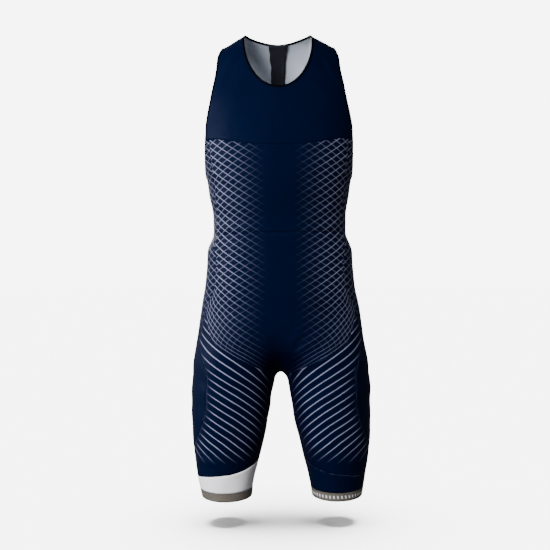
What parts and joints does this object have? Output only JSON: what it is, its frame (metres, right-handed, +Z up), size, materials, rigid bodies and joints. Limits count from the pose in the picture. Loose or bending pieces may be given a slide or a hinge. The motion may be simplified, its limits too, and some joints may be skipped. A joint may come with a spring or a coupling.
{
  "type": "triathlon suit",
  "caption": "Sleeveless knee-length suit of thin knit cloth, filled out as worn, with bound neck and armholes, gripper hems and a zip up the centre back.",
  "frame": {"origin": "midway between the shoulder straps, at the height where the wearer's shoulders carry them", "axes": "+Z up, -Y the wearer's front, +X the wearer's left"},
  "size_m": [0.3738, 0.2416, 0.9657],
  "materials": {
    "knit": "plain navy warp knit with a soft sheen",
    "knit_printed": "navy warp knit with a print of thin pale lines",
    "knit_white": "plain white warp knit",
    "gripper": "grey elastic band with a matt rubbery hand",
    "binding": "near-black elastic fold-over binding",
    "zip_tape": "black woven polyester tape",
    "zip_guard": "black brushed knit",
    "zip_plastic": "black nylon",
    "zip_metal": "black painted zinc"
  },
  "bodies": {
    "suit": {"chest_panel": "knit", "midriff_panel": "knit_printed", "lower_front_panel": "knit_printed", "seat_panel": "knit_printed", "back_panel_left": "knit_printed", "back_panel_right": "knit_printed", "side_panel_left": "knit_printed", "side_panel_right": "knit_printed", "leg_front_left": "knit_printed", "leg_front_right": "knit_printed", "leg_back_left": "knit_printed", "leg_back_right": "knit_printed", "leg_band_left": "knit", "leg_band_right": "knit_white", "leg_gripper_left": "gripper", "leg_gripper_right": "gripper", "neck_binding": "binding", "armhole_binding_left": "binding", "armhole_binding_right": "binding", "zip_tape_left": "zip_tape", "zip_tape_right": "zip_tape", "zip_guard": "zip_guard", "zip_chain": "zip_plastic", "zip_slider": "zip_metal", "zip_bottom_stop": "zip_metal"},
    "pull_tab": {"zip_pull_tab": "zip_plastic"}
  },
  "joints": [
    {"name": "pull_tab_swing", "type": "hinge", "parent": "suit", "child": "pull_tab", "pos_m": [0, 0.04748, -0.00455], "axis": [1, 0, 0], "range_deg": [0, 150]}
  ]
}
